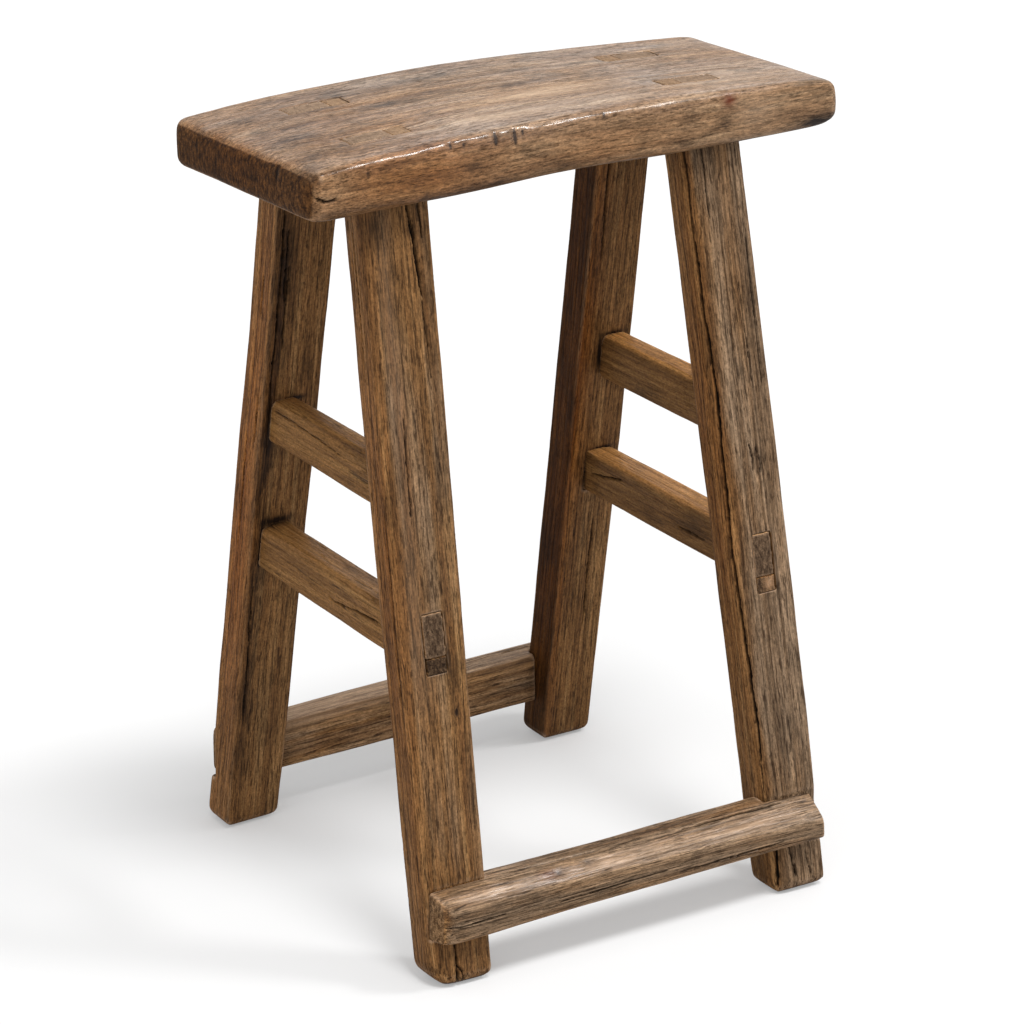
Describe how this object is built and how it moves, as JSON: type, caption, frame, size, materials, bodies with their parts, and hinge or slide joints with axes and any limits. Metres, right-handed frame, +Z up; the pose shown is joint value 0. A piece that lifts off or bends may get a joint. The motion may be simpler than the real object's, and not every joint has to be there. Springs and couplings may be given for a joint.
{
  "type": "saddle stool",
  "caption": "Tall rustic wooden stool with a narrow crowned slab seat on splayed legs, end rails between the legs and long rails lapped over the feet.",
  "frame": {"origin": "on the floor under the middle of the seat", "axes": "+X to the right along the seat, +Y from the front of the stool to its back, +Z up"},
  "size_m": [0.402, 0.3254, 0.526],
  "materials": {
    "elm_seat": "weathered elm, grey-brown and worn smooth on top",
    "elm_leg": "weathered elm with open vertical grain and long checks",
    "elm_rail": "worn elm with burnished upper edges",
    "elm_wedge": "end grain of small driven wedges"
  },
  "bodies": {
    "root": {"seat": "elm_seat", "leg_front_left": "elm_leg", "leg_front_right": "elm_leg", "leg_back_left": "elm_leg", "leg_back_right": "elm_leg", "seat_wedge_front_left": "elm_wedge", "seat_wedge_front_right": "elm_wedge", "seat_wedge_back_left": "elm_wedge", "seat_wedge_back_right": "elm_wedge", "upper_end_rail_left": "elm_rail", "upper_end_rail_right": "elm_rail", "lower_end_rail_left": "elm_rail", "lower_end_rail_right": "elm_rail", "rail_wedge_front_left": "elm_wedge", "rail_wedge_front_right": "elm_wedge", "rail_wedge_back_left": "elm_wedge", "rail_wedge_back_right": "elm_wedge", "long_rail_front": "elm_rail", "long_rail_back": "elm_rail"}
  },
  "joints": []
}
